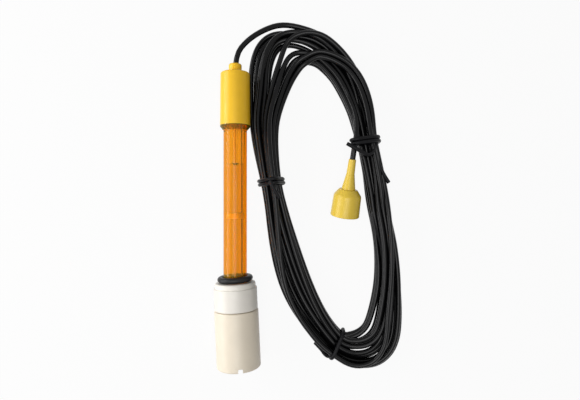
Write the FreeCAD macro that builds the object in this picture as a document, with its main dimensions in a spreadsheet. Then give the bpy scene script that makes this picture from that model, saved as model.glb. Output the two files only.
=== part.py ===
"""Redox electrode: a 12 mm probe in its storage bottle, with its tied cable and bayonet plug.

The probe lies along Y with its cable end at +Y. The origin is on the surface that it lies on,
under the middle of the probe and its bottle. Lengths are in millimetres and angles in degrees.
"""
import FreeCAD
import Part
import Sketcher
import math
import operator
import os

from FreeCAD import Placement, Rotation, Vector

doc = FreeCAD.newDocument("redox_electrode")

# Driving dimensions

DIMENSIONS = (
    # The probe's axis, which the places of the cable and the plug are measured from
    ("probe_x", -1.1),
    # Head and cable neck
    ("neck_length", 3.4),
    ("neck_diameter", 6.6),
    ("neck_rounding", 0.9),
    ("shoulder_height", 1.5),
    ("shoulder_rounding", 0.8),
    ("head_length", 26.7),
    ("head_top_diameter", 15.0),
    ("head_bottom_diameter", 15.4),
    ("head_roof", 3.2),
    ("clamp_pocket_depth", 3.4),
    ("clamp_diameter", 5.0),
    ("clamp_lip", 1.6),
    # Stem
    ("collar_length", 2.7),
    ("collar_land", 0.6),
    ("bare_stem_length", 77.4),
    ("stem_diameter", 12.0),
    ("stem_bore", 9.0),
    ("spigot_length", 7.0),
    ("tip_depth", 33.25),
    ("guard_slot_width", 3.0),
    ("guard_slot_depth", 5.5),
    ("guard_rounding", 0.4),
    # Sensing parts
    ("guard_reach", 2.0),
    ("platinum_exposed", 3.5),
    ("platinum_diameter", 1.0),
    ("platinum_buried", 3.0),
    ("glass_diameter", 4.0),
    ("glass_bore", 2.4),
    ("glass_end_wall", 1.8),
    ("glass_above_spigot", 2.0),
    ("inner_lead_diameter", 0.6),
    ("seal_thickness", 3.0),
    ("seal_height", 4.5),
    ("junction_diameter", 1.0),
    ("junction_proud", 0.3),
    ("wire_offset", 3.25),
    ("wire_diameter", 0.7),
    ("wire_above_seal", 10.0),
    ("gel_below_collar", 16.65),
    ("meniscus_depth", 1.1),
    ("meniscus_rounding", 1.0),
    ("ring_place", 42.05),
    ("ring_thickness", 2.8),
    ("ring_hole_diameter", 1.6),
    ("potting_height", 13.0),
    ("signal_lead_diameter", 0.9),
    ("screen_lead_diameter", 0.6),
    ("screen_lead_offset", 1.8),
    # Ring, cap and bottle
    ("o_ring_section", 3.0),
    ("o_ring_tilt", 4.0),
    ("cap_length", 13.7),
    ("cap_inset", 0.25),
    ("cap_rim_inset", 0.6),
    ("cap_rim_height", 2.5),
    ("cap_rim_step", 0.25),
    ("cap_rim_rounding", 0.9),
    ("cap_top_wall", 2.2),
    ("cap_skirt_wall", 1.8),
    ("cap_hole_clearance", 0.25),
    ("cap_seal_thickness", 1.9),
    ("seal_hole_clearance", 0.6),
    ("bottle_length", 29.2),
    ("bottle_diameter", 22.5),
    ("bottle_wall", 1.2),
    ("bottle_rounding", 0.8),
    ("bottle_neck_bore", 15.0),
    ("bottle_skew", 2.6),
    ("thread_clearance", 0.3),
    ("foot_recess", 2.5),
    ("foot_ring_wall", 1.7),
    ("foot_notch_width", 2.4),
    ("foot_notch_depth", 2.2),
    ("foot_notch_angle", 11.0),
    # Cable, hank and ties
    ("cable_diameter", 2.8),
    ("cable_turns", 13.0),
    ("bundle_fill", 0.85),
    ("tie_thickness", 2.0),
    # Plug, measured from its mouth
    ("plug_x", 56.6),
    ("plug_y", -0.5),
    ("plug_turn", 6.4),
    ("plug_tilt", 12.0),
    ("grip_mouth_diameter", 15.0),
    ("grip_mouth_rounding", 0.4),
    ("grip_shoulder_diameter", 14.2),
    ("grip_shoulder_rounding", 2.4),
    ("grip_crown_diameter", 9.4),
    ("grip_crown_rounding", 0.6),
    ("grip_length", 11.0),
    ("grip_crown_height", 3.2),
    ("grip_roof", 1.2),
    ("nut_diameter", 11.6),
    ("nut_bore", 9.8),
    ("nut_recess", 0.6),
    ("nut_lip", 0.9),
    ("nut_running_gap", 0.1),
    ("lug_slot_width", 2.3),
    ("lug_slot_entry", 2.6),
    ("lug_ramp_rise", 3.0),
    ("lug_ramp_angle", 75.0),
    ("contact_recess", 2.0),
    ("contact_diameter", 8.1),
    ("contact_bore", 6.9),
    ("contact_rounding", 0.2),
    ("contact_slot_width", 0.5),
    ("contact_slot_length", 5.0),
    ("flange_place", 8.2),
    ("flange_thickness", 0.8),
    ("flange_diameter", 9.4),
    ("barrel_end", 12.4),
    ("crimp_stem_diameter", 2.6),
    ("crimp_stem_bore", 1.8),
    ("crimp_stem_length", 4.6),
    ("pin_diameter", 1.35),
    ("pin_recess", 3.0),
    ("pin_shank_diameter", 2.1),
    ("pin_step", 8.0),
    ("pin_tail", 2.1),
    ("pin_tail_diameter", 1.6),
    ("insulator_nose_diameter", 4.8),
    ("insulator_nose_place", 4.4),
    ("insulator_step", 7.0),
    ("insulator_end", 11.4),
    ("gasket_thickness", 0.65),
    ("washer_thickness", 0.25),
    ("ferrule_wall", 0.55),
    ("ferrule_grip", 1.0),
    ("boot_length", 15.5),
    ("boot_base_diameter", 7.1),
    ("boot_cone_length", 8.0),
    ("boot_waist_diameter", 4.2),
    ("boot_end_diameter", 3.7),
    ("boot_end_rounding", 0.2),
    ("boot_flange_diameter", 8.1),
    ("boot_cable_grip", 10.3),
    # Gaps and lying clearance
    ("fit_gap", 0.02),
    ("cable_gap", 0.05),
    ("sliding_gap", 0.05),
    ("rest_gap", 0.1),
    ("shoulder_gap", 0.3),
)

sheet = doc.addObject("Spreadsheet::Sheet", "Sizes")
for row, (alias, number) in enumerate(DIMENSIONS, start=1):
    sheet.set("A{}".format(row), alias.replace("_", " "))
    sheet.set("B{}".format(row), str(number))
    sheet.setAlias("B{}".format(row), alias)
doc.recompute()


class Size:
    """A number together with the expression on the sheet that gives it."""

    def __init__(self, number, text):
        self.number = number
        self.text = text

    def __add__(self, other):
        return combine(self, "+", other, operator.add)

    def __radd__(self, other):
        return combine(other, "+", self, operator.add)

    def __sub__(self, other):
        return combine(self, "-", other, operator.sub)

    def __rsub__(self, other):
        return combine(other, "-", self, operator.sub)

    def __mul__(self, other):
        return combine(self, "*", other, operator.mul)

    def __rmul__(self, other):
        return combine(other, "*", self, operator.mul)

    def __truediv__(self, other):
        return combine(self, "/", other, operator.truediv)

    def __neg__(self):
        return combine(0, "-", self, operator.sub)


def as_size(value):
    """The value itself if it is a Size, or a plain number as one."""
    if isinstance(value, Size):
        return value
    return Size(float(value), str(float(value)))


def combine(first, sign, second, work):
    """Two sizes joined by an arithmetic sign, as a number and as an expression."""
    first = as_size(first)
    second = as_size(second)
    text = "({} {} {})".format(first.text, sign, second.text)
    return Size(work(first.number, second.number), text)


def cosine(angle):
    """The cosine of an angle given in degrees."""
    return Size(math.cos(math.radians(angle.number)), "cos({} * 1 deg)".format(angle.text))


def sine(angle):
    """The sine of an angle given in degrees."""
    return Size(math.sin(math.radians(angle.number)), "sin({} * 1 deg)".format(angle.text))


def tangent(angle):
    """The tangent of an angle given in degrees."""
    return Size(math.tan(math.radians(angle.number)), "tan({} * 1 deg)".format(angle.text))


def named(alias):
    """One driving dimension of the sheet."""
    return Size(float(getattr(sheet, alias)), "Sizes." + alias)


def bind(item, target, size):
    """Ties a property of an object to the sheet."""
    item.setExpression(target, as_size(size).text)


# Outlines and turned pieces

FULL_TURN = 360.0
QUARTER_TURN = FULL_TURN / 4
CUT_MARGIN = 1.0


def plane_of(body, role):
    """One of the body's own origin planes, by its role."""
    return [feature for feature in body.Origin.OriginFeatures if feature.Role == role][0]


def new_body(label):
    """An empty body with its label."""
    body = doc.addObject("PartDesign::Body", label)
    body.Label = label
    return body


def new_sketch(body, name, role):
    """A sketch on one of the body's origin planes."""
    sketch = body.newObject("Sketcher::SketchObject", name)
    sketch.AttachmentSupport = [(plane_of(body, role), "")]
    sketch.MapMode = "FlatFace"
    return sketch


def corner_round(before, corner, after, radius):
    """Where a rounded corner starts and ends, its centre and whether it turns left."""
    back = (before - corner).normalize()
    ahead = (after - corner).normalize()
    half = math.acos(max(-1.0, min(1.0, back.dot(ahead)))) / 2
    reach = radius / math.tan(half)
    middle = (back + ahead).normalize() * (radius / math.sin(half))
    left = (-back).cross(ahead).z > 0
    return corner + back * reach, corner + ahead * reach, corner + middle, left


def draw_outline(sketch, corners):
    """A closed outline. Each corner is (x, y) or (x, y, rounding), tied to the sheet."""
    sizes = [tuple(as_size(value) for value in corner) for corner in corners]
    points = [Vector(size[0].number, size[1].number, 0) for size in sizes]
    count = len(points)
    starts, ends, arcs = [], [], []
    for index, corner in enumerate(points):
        if len(sizes[index]) == 3:
            radius = sizes[index][2].number
            rounded = corner_round(points[index - 1], corner, points[(index + 1) % count], radius)
            starts.append(rounded[0])
            ends.append(rounded[1])
            arcs.append((radius, rounded[2], rounded[3]))
        else:
            starts.append(corner)
            ends.append(corner)
            arcs.append(None)
    lines = []
    for index in range(count):
        segment = Part.LineSegment(ends[index], starts[(index + 1) % count])
        lines.append(sketch.addGeometry(segment, False))
    for index, corner in enumerate(points):
        incoming = lines[index - 1]
        outgoing = lines[index]
        if arcs[index] is None:
            sketch.addConstraint(Sketcher.Constraint("Coincident", incoming, 2, outgoing, 1))
            holder = (outgoing, 1)
        else:
            radius, centre, left = arcs[index]
            first = starts[index] if left else ends[index]
            last = ends[index] if left else starts[index]
            first_angle = math.atan2(first.y - centre.y, first.x - centre.x)
            last_angle = math.atan2(last.y - centre.y, last.x - centre.x)
            circle = Part.Circle(centre, Vector(0, 0, 1), radius)
            arc = sketch.addGeometry(Part.ArcOfCircle(circle, first_angle, last_angle), False)
            start_end = 1 if left else 2
            far_end = 2 if left else 1
            sketch.addConstraint(Sketcher.Constraint("Tangent", incoming, 2, arc, start_end))
            sketch.addConstraint(Sketcher.Constraint("Tangent", outgoing, 1, arc, far_end))
            mark = sketch.addGeometry(Part.Point(corner), True)
            sketch.addConstraint(Sketcher.Constraint("PointOnObject", mark, 1, incoming))
            sketch.addConstraint(Sketcher.Constraint("PointOnObject", mark, 1, outgoing))
            rounding = sketch.addConstraint(Sketcher.Constraint("Radius", arc, radius))
            bind(sketch, "Constraints[{}]".format(rounding), sizes[index][2])
            holder = (mark, 1)
        for kind, size, value in (("DistanceX", sizes[index][0], corner.x),
                                  ("DistanceY", sizes[index][1], corner.y)):
            tied = sketch.addConstraint(Sketcher.Constraint(kind, holder[0], holder[1], value))
            bind(sketch, "Constraints[{}]".format(tied), size)


def turned(label, corners):
    """A piece turned about its axis, Y. The outline gives radius and place along the axis."""
    body = new_body(label)
    sketch = new_sketch(body, label + "_outline", "XY_Plane")
    draw_outline(sketch, corners)
    feature = body.newObject("PartDesign::Revolution", label + "_turned")
    feature.Profile = sketch
    feature.ReferenceAxis = (sketch, ["V_Axis"])
    feature.Angle = FULL_TURN
    sketch.Visibility = False
    doc.recompute()
    return body


def cut_across(body, name, role, corners, length, one_side=False):
    """A pocket cut from the body's origin plane: both ways through, or to one side only."""
    sketch = new_sketch(body, name + "_outline", role)
    draw_outline(sketch, corners)
    pocket = body.newObject("PartDesign::Pocket", name)
    pocket.Profile = sketch
    pocket.Type = "Length"
    bind(pocket, "Length", length)
    if one_side:
        pocket.Reversed = True
    else:
        pocket.Midplane = True
    sketch.Visibility = False
    doc.recompute()
    return pocket, sketch


def repeat_around(body, name, feature, sketch, count, angle):
    """Repeats a cut about the body's own Y axis."""
    pattern = body.newObject("PartDesign::PolarPattern", name)
    pattern.Originals = [feature]
    pattern.Axis = (sketch, ["V_Axis"])
    pattern.Angle = angle
    pattern.Occurrences = count
    body.Tip = pattern
    doc.recompute()


def rod(label, diameter, low, high):
    """A plain round rod parallel to Y, from one place to another."""
    piece = doc.addObject("Part::Cylinder", label)
    piece.Label = label
    bind(piece, "Radius", as_size(diameter) / 2)
    bind(piece, "Height", high - low)
    piece.Placement = Placement(Vector(0, 0, 0), Rotation(Vector(1, 0, 0), -90))
    bind(piece, "Placement.Base.y", low)
    return piece


def joined(label, pieces):
    """Several pieces fused to one."""
    fused = doc.addObject("Part::MultiFuse", label)
    fused.Label = label
    fused.Shapes = pieces
    doc.recompute()
    return fused


def without(label, base, tool):
    """One piece less another."""
    cut = doc.addObject("Part::Cut", label)
    cut.Label = label
    cut.Base = base
    cut.Tool = tool
    doc.recompute()
    return cut


def shaped(label, shape):
    """A piece whose shape is worked out here."""
    piece = doc.addObject("Part::Feature", label)
    piece.Label = label
    piece.Shape = shape
    return piece


# Places along the probe, from the middle of its length

neck_length = named("neck_length")
head_length = named("head_length")
cap_length = named("cap_length")
bottle_length = named("bottle_length")
overall = (neck_length + named("shoulder_height") + head_length + named("collar_length")
           + named("bare_stem_length") + cap_length + named("shoulder_gap") + bottle_length)
neck_top = overall / 2
shoulder_top = neck_top - neck_length
head_top = shoulder_top - named("shoulder_height")
head_bottom = head_top - head_length
stem_top = head_bottom - named("collar_length")
cap_top = stem_top - named("bare_stem_length")
cap_bottom = cap_top - cap_length
bottle_top = cap_bottom - named("shoulder_gap")
bottle_foot = bottle_top - bottle_length
stem_tip = cap_top - named("tip_depth")
axis_height = named("bottle_diameter") / 2
probe_x = named("probe_x")

cable_radius = named("cable_diameter") / 2
cable_bore = cable_radius + named("cable_gap")
fit_gap = named("fit_gap")
sliding_gap = named("sliding_gap")
stem_radius = named("stem_diameter") / 2
stem_bore = named("stem_bore") / 2
glass_radius = named("glass_diameter") / 2
clamp_radius = named("clamp_diameter") / 2

spigot_top = head_bottom + named("spigot_length")
head_cavity = stem_radius + fit_gap
cavity_top = shoulder_top - named("head_roof")
pocket_top = cavity_top + named("clamp_pocket_depth")
clamp_bottom = cavity_top - named("rest_gap")
cable_start = clamp_bottom + named("clamp_lip")
platinum_end = stem_tip + named("guard_reach")
glass_end = platinum_end + named("platinum_exposed")
platinum_top = glass_end + named("platinum_buried")
glass_top = spigot_top + named("glass_above_spigot")
seal_bottom = glass_end + named("seal_height") - named("seal_thickness")
seal_top = seal_bottom + named("seal_thickness")
wire_bottom = seal_top + named("wire_above_seal")
gel_top = stem_top - named("gel_below_collar")
ring_top = stem_top - named("ring_place")
ring_bottom = ring_top - named("ring_thickness")
potting_bottom = spigot_top + named("rest_gap")
potting_top = potting_bottom + named("potting_height")
lead_join = (glass_top + potting_top) / 2


def on_probe(piece, aside=0, above=0):
    """Puts a piece on the probe's axis, or beside and above it."""
    bind(piece, "Placement.Base.x", probe_x + aside)
    bind(piece, "Placement.Base.z", axis_height + above)
    return piece


# Head

def make_head_shell():
    """The moulded head: cable neck, sloping shoulder and a cup for the stem's spigot."""
    pocket_radius = clamp_radius + fit_gap
    return on_probe(turned("head_shell", (
        (cable_bore, neck_top),
        (named("neck_diameter") / 2, neck_top, named("neck_rounding")),
        (named("neck_diameter") / 2, shoulder_top),
        (named("head_top_diameter") / 2, head_top, named("shoulder_rounding")),
        (named("head_bottom_diameter") / 2, head_bottom),
        (head_cavity, head_bottom),
        (head_cavity, cavity_top),
        (pocket_radius, cavity_top),
        (pocket_radius, pocket_top),
        (cable_bore, pocket_top),
    )))


def make_cable_clamp():
    """The sleeve that grips the cable, with a lip that its end stands on."""
    lead_hole = named("signal_lead_diameter") / 2 + fit_gap
    return on_probe(turned("cable_clamp", (
        (lead_hole, clamp_bottom),
        (clamp_radius, clamp_bottom),
        (clamp_radius, pocket_top - fit_gap),
        (cable_bore, pocket_top - fit_gap),
        (cable_bore, cable_start),
        (lead_hole, cable_start),
    )))


# Where the screen's lead bends, as shares of its drop
SCREEN_LEAD_BENDS = (0.3, 0.65)


def make_screen_lead():
    """The screen's lead: down from the clamp, across to the reference wire, and down to it."""
    near = named("screen_lead_offset").number
    far = named("wire_offset").number
    top = clamp_bottom.number
    bottom = lead_join.number
    drop = top - bottom
    route = (
        Vector(near, top, 0),
        Vector(near, top - drop * SCREEN_LEAD_BENDS[0], 0),
        Vector(far, top - drop * SCREEN_LEAD_BENDS[1], 0),
        Vector(far, bottom, 0),
    )
    solid, radii, length = tube(route, named("screen_lead_diameter").number / 2)
    return on_probe(shaped("screen_lead", solid))


# Cords and bent wires

BEND_SHARE = 0.45


def tube(route, radius):
    """A round tube along straight runs joined by tangent arcs, with its arc radii and length."""
    edges = []
    radii = []
    here = route[0]
    for before, corner, after in zip(route, route[1:], route[2:]):
        back = (before - corner)
        ahead = (after - corner)
        reach = BEND_SHARE * min(back.Length, ahead.Length)
        back.normalize()
        ahead.normalize()
        half_turn = (math.pi - math.acos(max(-1.0, min(1.0, back.dot(ahead))))) / 2
        bend = reach / math.tan(half_turn)
        enter = corner + back * reach
        leave = corner + ahead * reach
        inward = (back + ahead).normalize()
        middle = corner + inward * (math.hypot(reach, bend) - bend)
        edges.append(Part.LineSegment(here, enter).toShape())
        edges.append(Part.Arc(enter, middle, leave).toShape())
        radii.append(round(bend, 1))
        here = leave
    edges.append(Part.LineSegment(here, route[-1]).toShape())
    path = Part.Wire(edges)
    circle = Part.makeCircle(radius, route[0], route[1] - route[0])
    solid = path.makePipe(Part.Face(Part.Wire([circle])))
    return solid, radii, path.Length


def report_tube(name, solid, radius, radii, length):
    """Prints a tube's bends, and its volume beside its section times its length."""
    expected = math.pi * radius ** 2 * length
    print(name, "length", round(length, 2), "radii", radii,
          "volume", round(solid.Volume, 2), "expected", round(expected, 2))


def beside_probe(route):
    """A route whose points are measured from the probe's axis, in the model's frame."""
    return [point + Vector(probe_x.number, 0, 0) for point in route]


# The cable's route out of the neck, over the top of the hank and into its outer turn
LEAD_ROUTE = (
    Vector(0.0, cable_start.number, axis_height.number),
    Vector(0.0, 82.0, 11.25),
    Vector(4.9, 90.9, 10.3),
    Vector(13.6, 97.1, 8.8),
    Vector(24.0, 99.8, 6.8),
    Vector(35.4, 98.2, 5.4),
    Vector(45.6, 94.4, 4.6),
)

# The cable's route from the plug's boot, over the hank's inner edge and into its turns
TAIL_ROUTE = (
    Vector(61.9, 40.0, 13.4),
    Vector(62.3, 47.0, 11.4),
    Vector(61.4, 53.8, 8.8),
    Vector(59.0, 60.4, 6.2),
)
TAIL_STRAIGHT = 14.5

# Gates round the hank, clockwise from the left tie: inner edge x, y and outer edge x, y
HANK_GATES = (
    (23.7, 17.0, 12.3, 17.9),
    (22.1, 34.2, 8.6, 34.2),
    (22.7, 50.0, 6.3, 50.0),
    (28.2, 66.0, 5.8, 66.0),
    (33.0, 74.5, 7.4, 84.5),
    (36.4, 78.1, 15.6, 96.6),
    (39.4, 78.6, 29.5, 99.2),
    (43.0, 77.8, 46.2, 96.5),
    (49.0, 72.0, 59.8, 84.2),
    (53.3, 64.8, 68.3, 70.5),
    (58.7, 53.4, 72.8, 53.8),
    (62.4, 38.5, 74.0, 38.5),
    (66.3, 19.4, 78.6, 19.4),
    (69.0, 3.0, 81.4, 3.0),
    (72.4, -16.0, 85.7, -16.0),
    (72.7, -36.0, 87.1, -36.0),
    (69.0, -54.0, 88.0, -55.5),
    (65.5, -60.2, 83.0, -74.5),
    (60.0, -62.3, 68.0, -83.9),
    (55.0, -61.3, 48.6, -73.6),
    (46.8, -50.6, 38.5, -63.8),
    (38.8, -32.6, 23.8, -41.6),
    (31.0, -10.0, 17.4, -18.4),
    (26.5, 5.0, 14.8, 2.5),
)
LEFT_TIE_GATE = 0
RIGHT_TIE_GATE = 11
BOTTOM_TIE_GATE = 19
HANK_SIDES = 12


def bundle_height(width):
    """How thick the tied turns lie where they are this wide."""
    strand = math.pi * cable_radius.number ** 2
    area = named("cable_turns").number * strand / named("bundle_fill").number
    return 4 * area / (math.pi * width)


def gate_frame(gate):
    """A gate's middle on the ground, its outward direction, its width and its height."""
    inner, outer = beside_probe((Vector(gate[0], gate[1], 0), Vector(gate[2], gate[3], 0)))
    width = (outer - inner).Length
    return (inner + outer) / 2, (outer - inner).normalize(), width, bundle_height(width)


def oval(middle, outward, half_width, half_height):
    """An upright ellipse that stands across the bundle."""
    across = middle + outward * half_width
    up = middle + Vector(0, 0, half_height)
    if half_width > half_height:
        return Part.Ellipse(across, up, middle).toShape()
    return Part.Ellipse(up, middle - outward * half_width, middle).toShape()


def make_hank():
    """The tied turns of cable as one closed form, oval at every gate."""
    sections = []
    for gate in HANK_GATES:
        middle, outward, width, height = gate_frame(gate)
        middle.z = height / 2
        points = []
        for index in range(HANK_SIDES):
            angle = 2 * math.pi * index / HANK_SIDES
            across = outward * (width / 2 * math.cos(angle))
            points.append(middle + across + Vector(0, 0, height / 2 * math.sin(angle)))
        sections.append(Part.makePolygon(points + points[:1]))
    return shaped("cable_hank", Part.makeLoft(sections, True, True, True))


def make_tie(label, gate, tails):
    """A twist tie: a band round the bundle and its loose ends."""
    middle, outward, width, height = gate_frame(gate)
    radius = named("tie_thickness").number / 2
    low = radius
    high = height + radius
    middle.z = (low + high) / 2
    ring = oval(middle, outward, width / 2 + radius, (high - low) / 2)
    start = ring.valueAt(ring.FirstParameter)
    along = ring.tangentAt(ring.FirstParameter)
    circle = Part.Wire([Part.makeCircle(radius, start, along)])
    solid = Part.Wire([ring]).makePipeShell([circle], True, True)
    for tail in tails:
        end, radii, length = tube(beside_probe(tail), radius)
        solid = solid.fuse(end)
    return shaped(label, solid.removeSplitter())


def on_plug_axis(distance):
    """The point on the plug's axis that is this far from the middle of its mouth."""
    turn = math.radians(named("plug_turn").number)
    tilt = math.radians(named("plug_tilt").number)
    mouth = Vector(plug_place.number, named("plug_y").number, plug_lift.number)
    along = Vector(math.sin(turn) * math.cos(tilt), math.cos(turn) * math.cos(tilt), math.sin(tilt))
    return mouth + along * distance


def make_cords():
    """The cable's three solids."""
    jacket_end = tail_start.number + named("rest_gap").number
    tail_route = [on_plug_axis(jacket_end), on_plug_axis(jacket_end + TAIL_STRAIGHT)]
    tail_route += beside_probe(TAIL_ROUTE)
    lead, lead_radii, lead_length = tube(beside_probe(LEAD_ROUTE), cable_radius.number)
    tail, tail_radii, tail_length = tube(tail_route, cable_radius.number)
    report_tube("cable_lead", lead, cable_radius.number, lead_radii, lead_length)
    report_tube("cable_tail", tail, cable_radius.number, tail_radii, tail_length)
    return [shaped("cable_lead", lead), make_hank(), shaped("cable_tail", tail)]


def make_ties():
    """The three ties, with their loose ends as they lie."""
    left = make_tie("tie_left", HANK_GATES[LEFT_TIE_GATE], (
        (Vector(17.6, 17.4, 11.4), Vector(19.4, 14.0, 11.8), Vector(22.4, 9.2, 10.2)),
    ))
    right = make_tie("tie_right", HANK_GATES[RIGHT_TIE_GATE], (
        (Vector(73.0, 38.3, 9.6), Vector(70.2, 29.4, 12.6), Vector(63.0, 32.5, 16.7),
         Vector(56.6, 36.1, 16.6)),
        (Vector(71.0, 38.4, 10.8), Vector(70.6, 28.8, 11.6), Vector(79.2, 16.8, 9.2)),
    ))
    bottom = make_tie("tie_bottom", HANK_GATES[BOTTOM_TIE_GATE], (
        (Vector(50.5, -72.8, 6.5), Vector(46.6, -72.6, 7.2), Vector(41.9, -66.8, 8.2)),
    ))
    return [left, right, bottom]


# Stem and sensing parts

def make_stem_body():
    """The clear moulding: spigot, cone collar, long tube and a guard with four fingers."""
    body = turned("stem_body", (
        (stem_bore, spigot_top),
        (stem_radius, spigot_top),
        (stem_radius, head_bottom),
        (named("head_bottom_diameter") / 2, head_bottom),
        (named("head_bottom_diameter") / 2, head_bottom - named("collar_land")),
        (stem_radius, stem_top),
        (stem_radius, stem_tip, named("guard_rounding")),
        (stem_bore, stem_tip),
    ))
    half = named("guard_slot_width") / 2
    below = stem_tip - CUT_MARGIN
    root = stem_tip + named("guard_slot_depth")
    slot, sketch = cut_across(body, "guard_slot", "XY_Plane", (
        (-half, below), (half, below), (half, root), (-half, root),
    ), named("stem_diameter") + CUT_MARGIN)
    repeat_around(body, "guard_slots", slot, sketch, 2, QUARTER_TURN)
    return on_probe(body)


def make_glass_tube():
    """The glass tube, closed round the platinum at its lower end."""
    hole = named("platinum_diameter") / 2
    bore = named("glass_bore") / 2
    floor = glass_end + named("glass_end_wall")
    return on_probe(turned("inner_glass_tube", (
        (hole, glass_end),
        (glass_radius, glass_end, (glass_radius - hole) / 2),
        (glass_radius, glass_top),
        (bore, glass_top),
        (bore, floor),
        (hole, floor),
    )))


# The rounding of a pin's end, as a share of its radius
ROUND_END = 0.8


def make_platinum_tip():
    """The platinum pin with its rounded end."""
    radius = named("platinum_diameter") / 2
    return on_probe(turned("platinum_tip", (
        (0, platinum_end),
        (radius, platinum_end, radius * ROUND_END),
        (radius, platinum_top),
        (0, platinum_top),
    )))


def make_centring_ring():
    """The ring that holds the glass tube central, with holes for the wire and the gel."""
    body = turned("centring_ring", (
        (glass_radius + fit_gap, ring_bottom),
        (stem_bore - fit_gap, ring_bottom),
        (stem_bore - fit_gap, ring_top),
        (glass_radius + fit_gap, ring_top),
    ))
    return on_probe(body)


def make_tip_seal():
    """The plug that closes the gel chamber round the glass tube."""
    return on_probe(turned("tip_seal_blank", (
        (glass_radius, seal_bottom),
        (stem_bore, seal_bottom),
        (stem_bore, seal_top),
        (glass_radius, seal_top),
    )))


def make_gel_blank():
    """The gel's annulus with a dished top."""
    return on_probe(turned("gel_blank", (
        (glass_radius + fit_gap, seal_top),
        (stem_bore - fit_gap, seal_top),
        (stem_bore - fit_gap, gel_top),
        ((glass_radius + stem_bore) / 2, gel_top - named("meniscus_depth"),
         named("meniscus_rounding")),
        (glass_radius + fit_gap, gel_top),
    )))


def make_potting_blank():
    """The resin in the head before the pieces set in it are taken away."""
    return on_probe(turned("potting_blank", (
        (0, potting_bottom),
        (head_cavity - fit_gap, potting_bottom),
        (head_cavity - fit_gap, potting_top),
        (0, potting_top),
    )))


RING_HOLES = 3


def make_electrode():
    """The head, the stem and everything inside them."""
    offset = named("wire_offset")
    head = make_head_shell()
    clamp = make_cable_clamp()
    stem = make_stem_body()
    glass = make_glass_tube()
    platinum = make_platinum_tip()
    inner = on_probe(rod("inner_lead", named("inner_lead_diameter"), platinum_top, lead_join))
    signal = on_probe(rod("signal_lead", named("signal_lead_diameter"), lead_join, cable_start))
    wire = on_probe(rod("reference_wire", named("wire_diameter"), wire_bottom, lead_join), offset)
    screen = make_screen_lead()
    holes = []
    for index in range(RING_HOLES):
        angle = as_size(index * FULL_TURN / RING_HOLES)
        hole = rod("ring_hole_{}".format(index + 1), named("ring_hole_diameter"),
                   ring_bottom - CUT_MARGIN, ring_top + CUT_MARGIN)
        holes.append(on_probe(hole, offset * cosine(angle), offset * sine(angle)))
    ring = without("centring_ring", make_centring_ring_blank(), joined("ring_holes", holes))
    junction = on_probe(rod("ceramic_junction", named("junction_diameter"),
                            seal_bottom - named("junction_proud"), seal_top), offset)
    seal = without("tip_seal", make_tip_seal(), junction)
    gel = without("reference_gel", make_gel_blank(), joined("gel_displaced", [ring, wire]))
    potting = without("head_potting", make_potting_blank(),
                      joined("potting_displaced", [glass, inner, signal, wire, screen]))
    return [head, clamp, signal, screen, potting, stem, glass, inner, platinum, wire, gel, ring,
            seal, junction]


def make_centring_ring_blank():
    """The centring ring before its holes."""
    ring = make_centring_ring()
    ring.Label = "centring_ring_blank"
    return ring


# Ring, cap, seal and bottle

bottle_radius = named("bottle_diameter") / 2
cap_radius = bottle_radius - named("cap_inset")
cap_rim_radius = cap_radius - named("cap_rim_inset")
cap_ceiling = cap_top - named("cap_top_wall")
cap_bore = cap_radius - named("cap_skirt_wall")
bottle_neck_radius = cap_bore - named("thread_clearance")
cap_seal_bottom = cap_ceiling - named("cap_seal_thickness")
bottle_mouth = cap_seal_bottom - named("rest_gap")
skew_pivot = cap_top - named("cap_top_wall") / 2


def on_bottle(piece):
    """Puts the cap, its seal or the bottle where they lie, a little askew on the stem."""
    skew = named("bottle_skew")
    turn = Rotation(Vector(0, 0, 1), skew.number)
    piece.Placement = Placement(Vector(0, 0, 0), turn.multiply(piece.Placement.Rotation))
    bind(piece, "Placement.Base.x", probe_x + skew_pivot * sine(skew))
    bind(piece, "Placement.Base.y", skew_pivot * (1 - cosine(skew)))
    bind(piece, "Placement.Base.z", axis_height)
    return piece


def make_o_ring():
    """The rubber ring, stretched on the stem and lying a little askew, so its line is an oval."""
    section = named("o_ring_section") / 2
    tilt = named("o_ring_tilt")
    line = stem_radius + sliding_gap + section
    rise = line * (tangent(tilt) - tangent(named("bottle_skew")))
    path = doc.addObject("Part::Ellipse", "o_ring_path")
    path.Label = "o_ring_path"
    bind(path, "MajorRadius", line / cosine(tilt))
    bind(path, "MinorRadius", line)
    lying = Rotation(Vector(1, 0, 0), 90)
    path.Placement = Placement(Vector(0, 0, 0), Rotation(Vector(0, 0, 1), tilt.number).multiply(lying))
    bind(path, "Placement.Base.y", cap_top + section / cosine(tilt) + rise + named("rest_gap"))
    on_probe(path)
    doc.recompute()
    edge = path.Shape.Edges[0]
    spot = edge.valueAt(edge.FirstParameter)
    circle = doc.addObject("Part::Circle", "o_ring_section_circle")
    bind(circle, "Radius", section)
    facing = Rotation(Vector(0, 0, 1), edge.tangentAt(edge.FirstParameter))
    circle.Placement = Placement(spot, facing)
    sweep = doc.addObject("Part::Sweep", "stem_o_ring")
    sweep.Label = "stem_o_ring"
    sweep.Sections = [circle]
    sweep.Spine = (path, ["Edge1"])
    sweep.Solid = True
    sweep.Frenet = True
    doc.recompute()
    return sweep


def make_storage_cap():
    """The screw cap: a stepped rim, a plain skirt and a hole that the stem slides in."""
    hole = stem_radius + named("cap_hole_clearance")
    rim_bottom = cap_top - named("cap_rim_height")
    return on_bottle(turned("storage_cap", (
        (hole, cap_top),
        (cap_rim_radius, cap_top, named("cap_rim_rounding")),
        (cap_rim_radius, rim_bottom),
        (cap_radius, rim_bottom - named("cap_rim_step"), named("cap_rim_step")),
        (cap_radius, cap_bottom, named("cap_rim_step")),
        (cap_bore, cap_bottom),
        (cap_bore, cap_ceiling),
        (hole, cap_ceiling),
    )))


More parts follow.
